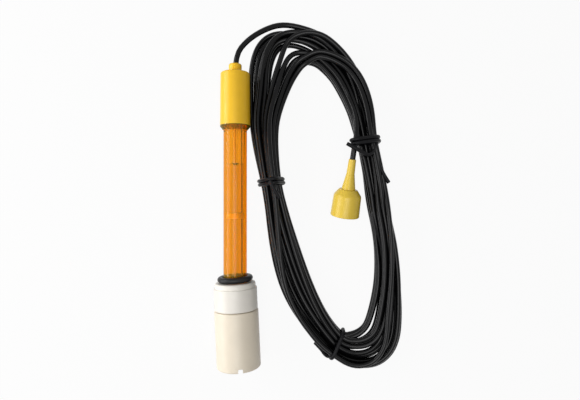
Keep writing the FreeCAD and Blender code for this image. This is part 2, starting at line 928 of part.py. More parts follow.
def make_cap_seal():
    """The flat seal between the cap and the mouth of the bottle."""
    hole = stem_radius + named("seal_hole_clearance")
    return on_bottle(turned("cap_seal", (
        (hole, cap_seal_bottom),
        (bottle_neck_radius, cap_seal_bottom),
        (bottle_neck_radius, cap_ceiling - sliding_gap),
        (hole, cap_ceiling - sliding_gap),
    )))


def make_storage_bottle():
    """The bottle: screw neck, thin wall, raised floor and a foot ring with one notch."""
    wall = named("bottle_wall")
    inside = bottle_radius - wall
    neck_bore = named("bottle_neck_bore") / 2
    recess_top = bottle_foot + named("foot_recess")
    ceiling = bottle_top - wall
    floor = recess_top + wall
    body = turned("storage_bottle", (
        (neck_bore, bottle_mouth),
        (bottle_neck_radius, bottle_mouth),
        (bottle_neck_radius, bottle_top),
        (bottle_radius, bottle_top, named("bottle_rounding")),
        (bottle_radius, bottle_foot, named("bottle_rounding")),
        (bottle_radius - named("foot_ring_wall"), bottle_foot),
        (bottle_radius - named("foot_ring_wall"), recess_top),
        (0, recess_top),
        (0, floor),
        (inside, floor, named("bottle_rounding")),
        (inside, ceiling, named("bottle_rounding")),
        (neck_bore, ceiling),
    ))
    half = named("foot_notch_width") / 2
    below = bottle_foot - CUT_MARGIN
    root = bottle_foot + named("foot_notch_depth")
    cut_across(body, "foot_notch", "XY_Plane", (
        (-half, below), (half, below), (half, root, half / 2), (-half, root, half / 2),
    ), bottle_radius + CUT_MARGIN, one_side=True)
    body.Placement = Placement(Vector(0, 0, 0),
                               Rotation(Vector(0, 1, 0), named("foot_notch_angle").number))
    return on_bottle(body)


# Plug, built along Y from its mouth at zero

contact_radius = named("contact_diameter") / 2
contact_bore = named("contact_bore") / 2
flange_low = named("flange_place")
flange_high = flange_low + named("flange_thickness")
flange_radius = named("flange_diameter") / 2
nut_bore = named("nut_bore") / 2
nut_radius = named("nut_diameter") / 2
nut_end = named("grip_length") - named("fit_gap")
grip_top = named("grip_length") + named("grip_crown_height")
plug_end = grip_top + named("boot_length")
crimp_end = named("barrel_end") + named("crimp_stem_length")
tail_start = plug_end - named("boot_cable_grip")
ferrule_bore = cable_bore
ferrule_radius = ferrule_bore + named("ferrule_wall")
ferrule_end = tail_start + named("ferrule_grip")
plug_place = probe_x + named("plug_x")
plug_lift = named("grip_mouth_diameter") / 2 * cosine(named("plug_tilt")) + named("cable_gap")


def on_plug(piece):
    """Puts a piece of the plug where the plug lies."""
    turn = Rotation(Vector(0, 0, 1), -named("plug_turn").number)
    tilt = Rotation(Vector(1, 0, 0), named("plug_tilt").number)
    piece.Placement = Placement(Vector(0, 0, 0), turn.multiply(tilt)).multiply(piece.Placement)
    bind(piece, "Placement.Base.x", plug_place)
    bind(piece, "Placement.Base.y", named("plug_y"))
    bind(piece, "Placement.Base.z", plug_lift)
    return piece


def make_plug_grip():
    """The bell-shaped grip over the coupling nut."""
    hole = named("boot_base_diameter") / 2 + named("nut_running_gap")
    wall = named("grip_roof")
    return on_plug(turned("plug_grip", (
        (nut_radius, 0),
        (named("grip_mouth_diameter") / 2, 0, named("grip_mouth_rounding")),
        (named("grip_shoulder_diameter") / 2, named("grip_length"), named("grip_shoulder_rounding")),
        (named("grip_crown_diameter") / 2, grip_top, named("grip_crown_rounding")),
        (hole, grip_top),
        (hole, grip_top - wall),
        (named("boot_flange_diameter") / 2 + named("thread_clearance"), grip_top - wall),
        (named("grip_shoulder_diameter") / 2 - wall, named("grip_length")),
        (nut_radius, named("grip_length")),
    )))


# How far the cuts for the lugs reach past the nut's walls
LUG_MARGIN = 0.4


def lug_slots():
    """The way for the socket's two lugs: straight in, up a ramp and into a round seat."""
    half = named("lug_slot_width").number / 2
    inner = nut_bore.number - LUG_MARGIN
    outer = nut_radius.number + LUG_MARGIN
    rise = named("lug_ramp_rise").number
    angle = named("lug_ramp_angle").number
    start = named("nut_recess").number + named("lug_slot_entry").number
    corners = [Vector(inner, 0, -half), Vector(outer, 0, -half),
               Vector(outer, 0, half), Vector(inner, 0, half)]
    section = Part.makePolygon(corners + corners[:1])
    helix = Part.makeHelix(rise * FULL_TURN / angle, rise, (inner + outer) / 2)
    ramp = Part.Wire(helix.Edges).makePipeShell([section], True, True)
    entry = Part.makeBox(outer - inner, 2 * half, start + half, Vector(inner, -half, -start))
    seat = Part.makeCylinder(half, outer - inner, Vector(inner, 0, 0), Vector(1, 0, 0))
    far_seat = seat.copy()
    far_seat.rotate(Vector(0, 0, 0), Vector(0, 0, 1), angle)
    far_seat.translate(Vector(0, 0, rise))
    one = ramp.fuse([entry, seat, far_seat])
    two = one.copy()
    two.rotate(Vector(0, 0, 0), Vector(0, 0, 1), FULL_TURN / 2)
    both = one.fuse(two)
    both.translate(Vector(0, 0, start))
    both.rotate(Vector(0, 0, 0), Vector(1, 0, 0), -90)
    return shaped("lug_slots", both)


def make_bayonet_nut():
    """The coupling nut: two ramped slots for the socket's lugs and an inward lip."""
    outer = nut_radius - fit_gap
    lip = contact_radius + named("nut_running_gap")
    blank = turned("bayonet_nut_blank", (
        (nut_bore, named("nut_recess")),
        (outer, named("nut_recess")),
        (outer, nut_end),
        (lip, nut_end),
        (lip, nut_end - named("nut_lip")),
        (nut_bore, nut_end - named("nut_lip")),
    ))
    return on_plug(without("bayonet_nut", blank, lug_slots()))


def make_plug_body():
    """The plug's shell: sprung contact sleeve, flange, barrel and crimp stem."""
    stem = named("crimp_stem_diameter") / 2
    bore = named("crimp_stem_bore") / 2
    body = turned("plug_body", (
        (contact_bore, named("contact_recess")),
        (contact_radius, named("contact_recess"), named("contact_rounding")),
        (contact_radius, flange_low),
        (flange_radius, flange_low),
        (flange_radius, flange_high),
        (contact_radius, flange_high),
        (contact_radius, named("barrel_end")),
        (stem, named("barrel_end")),
        (stem, crimp_end),
        (bore, crimp_end),
        (bore, named("insulator_end")),
        (contact_bore, named("insulator_end")),
    ))
    half = named("contact_slot_width") / 2
    root = named("contact_recess") + named("contact_slot_length")
    slot, sketch = cut_across(body, "contact_slot", "XY_Plane", (
        (-half, 0), (half, 0), (half, root), (-half, root),
    ), named("contact_diameter") + CUT_MARGIN)
    repeat_around(body, "contact_slots", slot, sketch, 2, QUARTER_TURN)
    return on_plug(body)


def make_plug_insulator():
    """The insulator that carries the pin in the shell."""
    pin = named("pin_diameter") / 2 + fit_gap
    shank = named("pin_shank_diameter") / 2 + fit_gap
    nose = named("insulator_nose_diameter") / 2
    outer = contact_bore - fit_gap
    return on_plug(turned("plug_insulator", (
        (pin, named("insulator_nose_place")),
        (nose, named("insulator_nose_place")),
        (nose, named("insulator_step")),
        (outer, named("insulator_step")),
        (outer, named("insulator_end") - fit_gap),
        (shank, named("insulator_end") - fit_gap),
        (shank, named("pin_step") - fit_gap),
        (pin, named("pin_step") - fit_gap),
    )))


def make_plug_pin():
    """The centre pin, stepped so that the insulator holds it."""
    radius = named("pin_diameter") / 2
    shank = named("pin_shank_diameter") / 2
    tail = named("pin_tail_diameter") / 2
    shank_end = named("insulator_end") - named("rest_gap")
    return on_plug(turned("plug_pin", (
        (0, named("pin_recess")),
        (radius, named("pin_recess"), radius * ROUND_END),
        (radius, named("pin_step")),
        (shank, named("pin_step")),
        (shank, shank_end),
        (tail, shank_end),
        (tail, shank_end + named("pin_tail")),
        (0, shank_end + named("pin_tail")),
    )))


def make_plug_lead():
    """The cable's core from the pin to the end of its jacket."""
    radius = named("signal_lead_diameter") / 2
    low = named("insulator_end") - named("rest_gap") + named("pin_tail")
    return on_plug(turned("plug_lead", (
        (0, low),
        (radius, low),
        (radius, tail_start),
        (0, tail_start),
    )))


def make_plug_gasket():
    """The soft ring that seals against the socket."""
    return on_plug(turned("plug_gasket", (
        (contact_radius + sliding_gap, flange_low - named("gasket_thickness") - sliding_gap),
        (flange_radius, flange_low - named("gasket_thickness") - sliding_gap),
        (flange_radius, flange_low - sliding_gap),
        (contact_radius + sliding_gap, flange_low - sliding_gap),
    )))


def make_spring_washer():
    """The dished washer that pulls the nut back."""
    low = flange_high + sliding_gap
    high = nut_end - named("nut_lip") - sliding_gap
    thick = named("washer_thickness")
    inner = contact_radius + sliding_gap
    return on_plug(turned("spring_washer", (
        (inner, low),
        (inner, low + thick),
        (flange_radius, high),
        (flange_radius, high - thick),
    )))


def make_crimp_ferrule():
    """The crimped tube over the crimp stem and the cable's end."""
    low = named("barrel_end") + named("rest_gap")
    return on_plug(turned("crimp_ferrule", (
        (ferrule_bore, low),
        (ferrule_radius, low),
        (ferrule_radius, ferrule_end),
        (ferrule_bore, ferrule_end),
    )))


def make_plug_boot():
    """The cone and sleeve that the cable leaves through, held in the grip by the flange."""
    base = named("boot_base_diameter") / 2
    flange = named("boot_flange_diameter") / 2
    low = named("barrel_end") + named("rest_gap")
    flange_top = grip_top - named("grip_roof") - named("rest_gap")
    socket = ferrule_radius + fit_gap
    return on_plug(turned("plug_boot", (
        (socket, low),
        (flange, low),
        (flange, flange_top),
        (base, flange_top),
        (base, grip_top + named("rest_gap")),
        (named("boot_waist_diameter") / 2, grip_top + named("boot_cone_length")),
        (named("boot_end_diameter") / 2, plug_end, named("boot_end_rounding")),
        (cable_bore, plug_end),
        (cable_bore, ferrule_end + fit_gap),
        (socket, ferrule_end + fit_gap),
    )))


def make_storage():
    """The ring, the cap, its seal and the bottle."""
    return [make_o_ring(), make_storage_cap(), make_cap_seal(), make_storage_bottle()]


def make_plug():
    """The plug's pieces."""
    return [make_plug_boot(), make_plug_grip(), make_bayonet_nut(), make_plug_body(),
            make_plug_insulator(), make_plug_pin(), make_plug_lead(), make_plug_gasket(),
            make_spring_washer(), make_crimp_ferrule()]


def check_document():
    """Stops if any object of the document failed."""
    for item in doc.Objects:
        if "Invalid" in item.State or "Error" in item.State:
            raise RuntimeError("{} failed: {}".format(item.Name, item.State))


def write_pieces(pieces):
    """Writes each piece to its own file."""
    os.makedirs("parts", exist_ok=True)
    for piece in pieces:
        shape = piece.Shape
        if shape.isNull() or not shape.isValid():
            raise RuntimeError("{} has no valid shape".format(piece.Label))
        print(piece.Label, len(shape.Solids), "solids", round(shape.Volume, 2))
    for piece in pieces:
        piece.Shape.exportStep("parts/{}.step".format(piece.Label))


pieces = make_electrode() + make_storage() + make_cords() + make_ties() + make_plug()
doc.recompute()
check_document()
write_pieces(pieces)
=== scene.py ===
"""The looks of the redox electrode: its cable, ties, finishes, camera and light, in the model's frame."""

import math

import bpy
import mathutils
import numpy as np
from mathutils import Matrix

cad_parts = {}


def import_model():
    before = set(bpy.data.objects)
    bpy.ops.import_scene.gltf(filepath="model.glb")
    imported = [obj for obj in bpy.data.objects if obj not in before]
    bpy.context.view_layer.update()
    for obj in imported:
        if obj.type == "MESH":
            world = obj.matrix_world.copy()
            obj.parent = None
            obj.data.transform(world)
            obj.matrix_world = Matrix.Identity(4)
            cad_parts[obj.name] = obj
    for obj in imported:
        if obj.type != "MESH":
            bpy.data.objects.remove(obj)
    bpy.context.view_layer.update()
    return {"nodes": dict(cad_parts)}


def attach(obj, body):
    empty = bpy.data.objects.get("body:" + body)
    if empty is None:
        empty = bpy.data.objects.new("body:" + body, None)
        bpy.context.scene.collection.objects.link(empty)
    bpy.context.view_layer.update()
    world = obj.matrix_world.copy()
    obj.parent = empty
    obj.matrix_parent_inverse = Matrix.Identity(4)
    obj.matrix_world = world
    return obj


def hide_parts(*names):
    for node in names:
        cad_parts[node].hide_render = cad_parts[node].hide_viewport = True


MM = 0.001
PROBE_X = -1.1  # the probe's axis in mm, which the places of the cable and the ties are measured from

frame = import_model()
nodes = frame["nodes"]

# Camera

CAMERA_PLACE = (0.0281 + PROBE_X * MM, 0.00775, 0.239)  # in metres, looking straight down
LENS, SENSOR = 27.56, 36.0
NEAREST = 0.01
camera = bpy.data.objects.new("camera", bpy.data.cameras.new("camera"))
bpy.context.scene.collection.objects.link(camera)
camera.data.lens = LENS
camera.data.sensor_width = SENSOR
camera.data.clip_start = NEAREST
camera.location = CAMERA_PLACE
bpy.context.scene.camera = camera
bpy.context.scene.view_settings.view_transform = "Standard"

# Cable

CABLE_RADIUS = 1.4
# The lead from the head to the hank, and the tail from the hank to the plug's boot, in mm.
LEAD_ROUTE = (
    (0.0, 72.35, 11.25),
    (0.0, 82.0, 11.25),
    (6.0, 90.0, 10.3),
    (14.8, 96.2, 8.8),
    (24.0, 99.8, 6.8),
    (35.4, 98.2, 5.4),
    (45.6, 94.4, 4.6),
)
TAIL_ROUTE = (
    (59.0, 60.4, 7.6),
    (61.4, 53.8, 9.4),
    (62.3, 47.0, 11.4),
    (61.9, 40.0, 13.4),
    (60.31, 32.55, 14.45),
    (58.73, 18.46, 11.44),
)
# The hank's inner and outer edges, clockwise from the left tie, in mm.
GATES = (
    (23.7, 17.0, 12.3, 17.9),
    (22.1, 34.2, 8.6, 34.2),
    (22.7, 50.0, 6.3, 50.0),
    (28.2, 66.0, 5.8, 66.0),
    (33.0, 74.5, 6.4, 84.9),
    (36.4, 78.1, 14.3, 97.7),
    (39.4, 78.6, 29.1, 99.9),
    (43.0, 77.8, 45.6, 95.6),
    (49.0, 72.0, 59.0, 83.4),
    (53.3, 64.8, 68.3, 70.5),
    (58.7, 53.4, 72.0, 53.8),
    (62.4, 38.5, 73.4, 38.5),
    (66.3, 19.4, 78.6, 19.4),
    (69.0, 3.0, 81.4, 3.0),
    (72.4, -16.0, 85.7, -16.0),
    (72.7, -36.0, 87.1, -36.0),
    (69.0, -54.0, 88.0, -55.5),
    (65.5, -60.2, 84.4, -75.8),
    (60.0, -62.6, 68.4, -84.4),
    (55.2, -61.8, 49.8, -73.6),
    (46.8, -50.6, 38.6, -63.9),
    (38.8, -32.6, 22.8, -42.4),
    (31.0, -10.0, 17.4, -18.4),
    (26.5, 5.0, 14.8, 2.5),
)
# Where each turn runs between the inner edge, 0, and the outer edge, 1. The first turn is the lead's
# and lies lowest, and the last one is the tail's and lies on top. A turn begins and ends at gate 8.
LANE_GATES = (
    *(8.0, 9.0, 11.0, 13.0, 15.0, 16.0, 17.0, 18.0, 19.0),
    *(21.0, 23.0, 25.0, 27.0, 28.0, 29.0, 30.0, 31.0),
)
LANES = (
    (1.00, 0.96, 0.90, 0.95, 1.00, 1.00, 1.00, 1.00, 1.00, 1.00, 1.00, 1.00, 1.00, 1.00, 1.00, 0.86, 0.62),
    (0.45, 0.40, 0.50, 0.60, 0.75, 0.80, 0.84, 0.84, 0.80, 0.80, 0.85, 0.86, 0.86, 0.89, 0.95, 0.75, 0.50),
    (0.30, 0.25, 0.20, 0.10, 0.00, 0.00, 0.00, 0.00, 0.00, 0.00, 0.05, 0.07, 0.07, 0.10, 0.12, 0.10, 0.00),
    (0.00, 0.00, 0.10, 0.30, 0.50, 0.60, 0.70, 0.70, 0.70, 0.70, 0.75, 0.78, 0.78, 0.78, 0.76, 0.97, 0.90),
    (0.80, 0.80, 0.75, 0.70, 0.65, 0.65, 0.62, 0.60, 0.58, 0.60, 0.60, 0.62, 0.64, 0.66, 0.69, 0.87, 0.72),
    (0.60, 0.60, 0.60, 0.80, 0.90, 0.90, 0.90, 0.90, 0.90, 0.90, 0.80, 0.72, 0.71, 0.73, 0.74, 0.94, 0.82),
    (0.70, 0.55, 0.40, 0.45, 0.45, 0.48, 0.58, 0.52, 0.45, 0.45, 0.50, 0.53, 0.53, 0.63, 0.76, 0.52, 0.12),
    (0.10, 0.12, 0.10, 0.10, 0.10, 0.00, 0.00, 0.05, 0.10, 0.15, 0.20, 0.20, 0.22, 0.20, 0.22, 0.21, 0.08),
    (0.00, 0.00, 0.00, 0.20, 0.25, 0.31, 0.24, 0.22, 0.25, 0.30, 0.40, 0.50, 0.55, 0.68, 0.79, 0.65, 0.44),
    (0.35, 0.35, 0.35, 0.30, 0.30, 0.34, 0.38, 0.35, 0.35, 0.30, 0.40, 0.43, 0.44, 0.31, 0.48, 0.80, 1.00),
    (0.98, 0.90, 0.70, 0.40, 0.20, 0.31, 0.24, 0.10, 0.00, 0.00, 0.00, 0.00, 0.00, 0.00, 0.00, 0.00, 0.13),
    (0.69, 0.79, 0.70, 0.60, 0.50, 0.48, 0.38, 0.30, 0.20, 0.15, 0.12, 0.13, 0.14, 0.11, 0.11, 0.13, 0.30),
    (0.90, 1.00, 1.00, 0.80, 0.45, 0.42, 0.59, 0.93, 1.00, 0.95, 0.33, 0.29, 0.30, 0.30, 0.33, 0.32, 0.14),
)
# The last turn dips under the two before it from gate 1 to where it leaves the hank, by this many turns.
DIP_GATES, DIP = (25.0, 27.0), 2.6
STEPS = 2  # stations from one gate to the next
FIRST_GATE, LAST_GATE = 7.5, 9.0
# How the turns settle: the steps, the fall of each in mm until it slows near the end, and the shares
# by which a step pulls a turn to its lane, straightens it and pushes two turns apart.
SETTLE_STEPS, SLOW_FROM = 700, 600
FALL, SLOW_FALL = 0.05, 0.02
LANE_PULL, STRAIGHTEN, PUSH = 0.25, 0.35, 0.35
PUSH_ROUNDS = 3
LEVEL_RISE = 1.9  # how far above the turn before it each turn starts, in cable radii
LEAD_HEIGHT = 3.4  # where the lead comes in, in mm


def round_gates(at):
    """The hank's inner and outer edge at gate numbers at, on smooth closed curves through the gates."""
    gates = np.array(GATES)
    i = np.floor(at).astype(int)
    t = (at - i)[:, None]
    p0, p1, p2, p3 = (gates[(i + k) % len(gates)] for k in (-1, 0, 1, 2))
    both = 0.5 * (
        2 * p1 + (p2 - p0) * t + (2 * p0 - 5 * p1 + 4 * p2 - p3) * t**2 + (3 * p1 - p0 - 3 * p2 + p3) * t**3
    )
    return both[:, :2], both[:, 2:]


def settled_hank():
    """The hank's points from lead to tail: turns that push each other aside and sink onto the table."""
    around = len(GATES) * STEPS
    count = around * len(LANES) + int((LAST_GATE - FIRST_GATE) * STEPS) + 1
    gate = FIRST_GATE + np.arange(count) / STEPS
    inner, outer = round_gates(gate % len(GATES))
    width = np.linalg.norm(outer - inner, axis=1)
    turn_gates = len(GATES) * np.arange(len(LANES))[:, None] + np.array(LANE_GATES)
    lane = np.interp(gate, turn_gates.ravel(), np.array(LANES).ravel())
    for _ in range(2):
        lane[1:-1] = 0.25 * lane[:-2] + 0.5 * lane[1:-1] + 0.25 * lane[2:]
    thick = 2 * CABLE_RADIUS
    wanted = CABLE_RADIUS + lane * (width - thick)
    start = int(FIRST_GATE * STEPS)
    rows = (start + count - 1) // around + 1
    x = np.full(rows * around, np.nan)
    z = np.full(rows * around, np.nan)
    here = slice(start, start + count)
    x[here] = wanted
    last_turn = len(GATES) * (len(LANES) - 1)
    level = (gate - FIRST_GATE) / len(GATES) - np.interp(gate - last_turn, DIP_GATES, (0.0, DIP))
    z[here] = CABLE_RADIUS * (1 + LEVEL_RISE * level)
    pairs = np.triu(np.ones((rows, rows), bool), 1)[:, :, None]
    for step in range(SETTLE_STEPS):
        a, b = x[here], z[here]
        a += LANE_PULL * (wanted - a)
        b -= FALL if step < SLOW_FROM else SLOW_FALL
        for line in (a, b):
            bend = np.zeros_like(line)
            bend[1:-1] = 0.5 * (line[:-2] + line[2:]) - line[1:-1]
            line += STRAIGHTEN * bend
        for _ in range(PUSH_ROUNDS):
            gx, gz = x.reshape(rows, around), z.reshape(rows, around)
            dx, dz = gx[:, None] - gx[None], gz[:, None] - gz[None]
            far = np.sqrt(dx**2 + dz**2)
            hit = pairs & (far < thick)
            push = np.nan_to_num(np.where(hit, PUSH * (thick - far) / np.maximum(far, 1e-6), 0.0))
            sx, sz = push * np.nan_to_num(dx), push * np.nan_to_num(dz)
            gx += sx.sum(1) - sx.sum(0)
            gz += sz.sum(1) - sz.sum(0)
            np.clip(a, CABLE_RADIUS, width - CABLE_RADIUS, out=a)
            np.maximum(b, CABLE_RADIUS, out=b)
        b[0] = LEAD_HEIGHT
    x, z = x[here], z[here]
    place = inner + (outer - inner) * (x / width)[:, None]
    return np.column_stack([place, z])


CURVE_STEPS = 4  # from one control point to the next


def tube_object(name, routes, radius, sides):
    """A round wire or cable along each route of control points in mm, and the points its lines follow."""
    curve = bpy.data.curves.new(name, "CURVE")
    curve.dimensions = "3D"
    curve.resolution_u = CURVE_STEPS
    for route in routes:
        spline = curve.splines.new("NURBS")
        spline.points.add(len(route) - 1)
        for point, place in zip(spline.points, route):
            point.co = ((place[0] + PROBE_X) * MM, place[1] * MM, place[2] * MM, 1.0)
        spline.order_u = 3
        spline.use_endpoint_u = True
    line = bpy.data.objects.new(name + "_line", curve)
    path = [tuple(vertex.co) for vertex in bpy.data.meshes.new_from_object(line).vertices]
    curve.bevel_depth = radius * MM
    curve.bevel_resolution = sides
    curve.use_fill_caps = True
    thing = bpy.data.objects.new(name, bpy.data.meshes.new_from_object(line))
    bpy.data.objects.remove(line)
    bpy.context.scene.collection.objects.link(thing)
    return thing, path


cable_route = [*LEAD_ROUTE, *settled_hank(), *TAIL_ROUTE]
cable, cable_path = tube_object("cable", [cable_route], CABLE_RADIUS, sides=4)

# Ties

TIE_RADIUS = 1.0
TIE_STEP = 2.0  # from one turn of a tie to the next, in mm along the bundle
TURN_POINTS = 16  # control points in a turn of a tie
ROUND_POINTS = 24  # points on the circle drawn round each strand
BESIDE = 3.0  # how far outside its gate a strand may cross and be tied too, in mm
# Each tie: the gate that it sits at, how far it leans in degrees, its turns, and the routes of its ends.
TIES = {
    "tie_left": (0, 15.0, 2, [[(18.0, 17.6, 14.0), (19.4, 14.0, 14.2), (22.6, 8.8, 12.6)]]),
    "tie_right": (
        11,
        12.0,
        2,
        [
            [(73.0, 38.3, 9.6), (70.2, 29.4, 12.6), (63.0, 32.5, 16.7), (56.6, 36.1, 16.6)],
            [(71.0, 38.4, 10.8), (70.6, 28.8, 11.6), (79.2, 16.8, 9.2)],
        ],
    ),
    "tie_bottom": (
        19,
        0.0,
        1,
        [
            [
                (48.8, -70.8, 7.5),
                (50.2, -73.8, 5.5),
                (48.2, -75.2, 4.0),
                (46.2, -73.4, 4.6),
                (44.8, -70.8, 5.6),
                (41.2, -67.0, 6.0),
            ]
        ],
    ),
}
cable_line = np.array(cable_path) / MM - (PROBE_X, 0.0, 0.0)


def tie_ring(gate, lean, turns):
    """The route of a wire drawn tight round every strand that crosses a gate, resting on the table."""
    inner, outer = np.array(GATES[gate][:2]), np.array(GATES[gate][2:])
    wide = np.linalg.norm(outer - inner)
    straight = (outer - inner) / wide
    cos, sin = math.cos(math.radians(lean)), math.sin(math.radians(lean))
    across = np.array([straight[0] * cos - straight[1] * sin, straight[0] * sin + straight[1] * cos])
    along = np.array([-across[1], across[0]])
    centre = (inner + outer) / 2
    side, ahead = (cable_line[:, :2] - centre) @ across, (cable_line[:, :2] - centre) @ along
    crossing = (ahead[:-1] * ahead[1:] <= 0) & (np.abs(side[:-1]) < wide / 2 + BESIDE)
    rim = TIE_RADIUS + CABLE_RADIUS
    marks = []
    for i in np.flatnonzero(crossing):
        for angle in np.linspace(0.0, 2 * math.pi, ROUND_POINTS, endpoint=False):
            marks.append((side[i] + rim * math.cos(angle), cable_line[i, 2] + rim * math.sin(angle)))
    order = mathutils.geometry.convex_hull_2d([mathutils.Vector(mark) for mark in marks])
    hull = np.array([marks[i] for i in order] + [marks[order[0]]])
    run = np.concatenate([[0.0], np.cumsum(np.linalg.norm(np.diff(hull, axis=0), axis=1))])
    route = []
    for i in range(turns * TURN_POINTS + 1):
        at = (i % TURN_POINTS) / TURN_POINTS * run[-1]
        out, up = np.interp(at, run, hull[:, 0]), max(TIE_RADIUS, np.interp(at, run, hull[:, 1]))
        place = centre + across * out + along * TIE_STEP * (i / TURN_POINTS - turns / 2)
        route.append((*place, up))
    return route


ties = {}
for name, (gate, lean, turns, tails) in TIES.items():
    routes = [tie_ring(gate, lean, turns)] + tails
    ties[name], _ = tube_object(name + "_wire", routes, TIE_RADIUS, sides=3)
    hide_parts(name)
    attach(ties[name], "electrode")

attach(cable, "electrode")
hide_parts("cable_lead", "cable_hank", "cable_tail")

# Finishes

RAMP_STOPS = (0.3, 0.7)  # where the noise is low and where it is high
PER_MM = 1000.0  # a density of one per mm
# The sizes of a moulded piece's patches of colour, patches of sheen and grain, as noise scales
CLOUD, SHEEN, GRAIN = 140.0, 420.0, 3600.0
SHEEN_SPREAD = 0.06
GRAIN_DETAIL, GRAIN_STRENGTH = 2.0, 0.25


class Finish:
    """A material under construction: its nodes, and short calls to add and join them."""

    def __init__(self, name, colour, roughness, **sockets):
        self.material = bpy.data.materials.new(name)
        self.material.use_nodes = True
        self.tree = self.material.node_tree
        self.surface = self.tree.nodes["Principled BSDF"]
        self.surface.inputs["Base Color"].default_value = (*colour, 1.0)
        self.surface.inputs["Roughness"].default_value = roughness
        for socket, value in sockets.items():
            self.surface.inputs[socket.replace("_", " ")].default_value = value
        self.place = self.add("ShaderNodeTexCoord").outputs["Object"]

    def add(self, kind, **settings):
        node = self.tree.nodes.new(kind)
        for key, value in settings.items():
            node.inputs[key].default_value = value
        return node

    def join(self, output, target):
        self.tree.links.new(output, target)

    def noise(self, scale, detail=3.0):
        texture = self.add("ShaderNodeTexNoise", Scale=scale, Detail=detail)
        self.join(self.place, texture.inputs["Vector"])
        return texture.outputs["Fac"]

    def ramp(self, factor, low, high):
        """A colour that goes from low to high with the factor."""
        node = self.add("ShaderNodeValToRGB")
        for element, at, colour in zip(node.color_ramp.elements, RAMP_STOPS, (low, high)):
            element.position = at
            element.color = (*colour, 1.0)
        self.join(factor, node.inputs["Fac"])
        return node.outputs["Color"]

    def sheen(self, scale, low, high, detail=3.0):
        """The roughness lies between low and high, in soft patches."""
        patches = self.ramp(self.noise(scale, detail), (low,) * 3, (high,) * 3)
        self.join(patches, self.surface.inputs["Roughness"])

    def bump(self, height, strength, distance):
        node = self.add("ShaderNodeBump", Strength=strength, Distance=distance)
        self.join(height, node.inputs["Height"])
        self.join(node.outputs["Normal"], self.surface.inputs["Normal"])

    def absorbs(self, colour):
        """Light is tinted on its way through the piece: each mm leaves about this much of it."""
        node = self.add("ShaderNodeVolumeAbsorption", Color=(*colour, 1.0), Density=PER_MM)
        self.join(node.outputs["Volume"], self.tree.nodes["Material Output"].inputs["Volume"])

    def on(self, *things):
        for thing in things:
            thing.data.materials.clear()
            thing.data.materials.append(self.material)


def shaded(colour, share):
    """The colour, made lighter or darker by share."""
    return tuple(min(1.0, c * share) for c in colour)


def moulded(name, colour, roughness, mottle=0.05, depth=0.00003, **sockets):
    """A plastic, rubber, metal or jacket: a slightly uneven colour and sheen, and a fine grain."""
    finish = Finish(name, colour, roughness, **sockets)
    cloud = finish.ramp(finish.noise(CLOUD), shaded(colour, 1 - mottle), shaded(colour, 1 + mottle))
    finish.join(cloud, finish.surface.inputs["Base Color"])
    finish.sheen(SHEEN, roughness - SHEEN_SPREAD, roughness + SHEEN_SPREAD)
    finish.bump(finish.noise(GRAIN, GRAIN_DETAIL), GRAIN_STRENGTH, depth)
    return finish


jacket = moulded(
    "cable_jacket", (0.003, 0.003, 0.0035), 0.15, mottle=0.2, depth=0.000006, Specular_IOR_Level=0.2
)
jacket.on(cable)
tie_jacket = moulded("tie_jacket", (0.005, 0.005, 0.006), 0.42, mottle=0.2, Specular_IOR_Level=0.14)
tie_jacket.on(*ties.values())

yellow = moulded("yellow_moulding", (0.95, 0.56, 0.02), 0.34, mottle=0.03, Specular_IOR_Level=0.4)
yellow.on(nodes["head_shell"])

amber = Finish(
    "amber_moulding",
    (1.0, 0.72, 0.04),
    0.06,
    Transmission_Weight=0.87,
    IOR=1.1,
    Coat_Weight=0.3,
    Coat_Roughness=0.10,
)
amber.sheen(90.0, 0.04, 0.09, detail=1.0)
amber.absorbs((0.975, 0.83, 0.38))
amber.on(nodes["stem_body"])

glass = Finish(
    "clear_glass", (0.98, 0.97, 0.93), 0.03, Transmission_Weight=1.0, IOR=1.12, Specular_IOR_Level=0.15
)
glass.sheen(200.0, 0.02, 0.05)
glass.on(nodes["inner_glass_tube"])

gel = Finish(
    "reference_gel", (1.0, 0.98, 0.92), 0.04, Transmission_Weight=1.0, IOR=1.05, Specular_IOR_Level=0.15
)
gel.sheen(120.0, 0.03, 0.07)
gel.absorbs((1.0, 0.97, 0.86))
gel.on(nodes["reference_gel"])

cream = moulded("bottle_moulding", (0.83, 0.74, 0.60), 0.42, mottle=0.02)
cream.on(nodes["storage_bottle"])
white = moulded("cap_moulding", (0.84, 0.80, 0.73), 0.40, mottle=0.02)
white.on(nodes["storage_cap"])
rubber = moulded("ring_rubber", (0.012, 0.012, 0.013), 0.4, mottle=0.2, Specular_IOR_Level=0.25)
rubber.on(nodes["stem_o_ring"])
seal = moulded("seal_rubber", (0.4, 0.4, 0.38), 0.6)
seal.on(nodes["cap_seal"])
grip = moulded(
    "grip_moulding", (0.78, 0.55, 0.06), 0.34, mottle=0.03, depth=0.000008, Specular_IOR_Level=0.4
)
grip.on(nodes["plug_grip"], nodes["plug_boot"])
brass = moulded("plated_brass", (0.72, 0.70, 0.66), 0.26, mottle=0.04, Metallic=1.0)
brass.on(nodes["bayonet_nut"], nodes["plug_body"], nodes["spring_washer"], nodes["crimp_ferrule"])
gold = moulded("gold_pin", (0.83, 0.62, 0.26), 0.25, mottle=0.04, Metallic=1.0)
gold.on(nodes["plug_pin"])
platinum = moulded("platinum", (0.80, 0.79, 0.76), 0.2, mottle=0.04, Metallic=1.0)
platinum.on(nodes["platinum_tip"])
silver = moulded("silver_wire", (0.2, 0.17, 0.15), 0.5, mottle=0.3, Metallic=0.6)
silver.on(nodes["reference_wire"])
copper = moulded("copper_lead", (0.65, 0.30, 0.12), 0.35, mottle=0.1, Metallic=1.0)
copper.on(nodes["inner_lead"], nodes["signal_lead"], nodes["screen_lead"], nodes["plug_lead"])
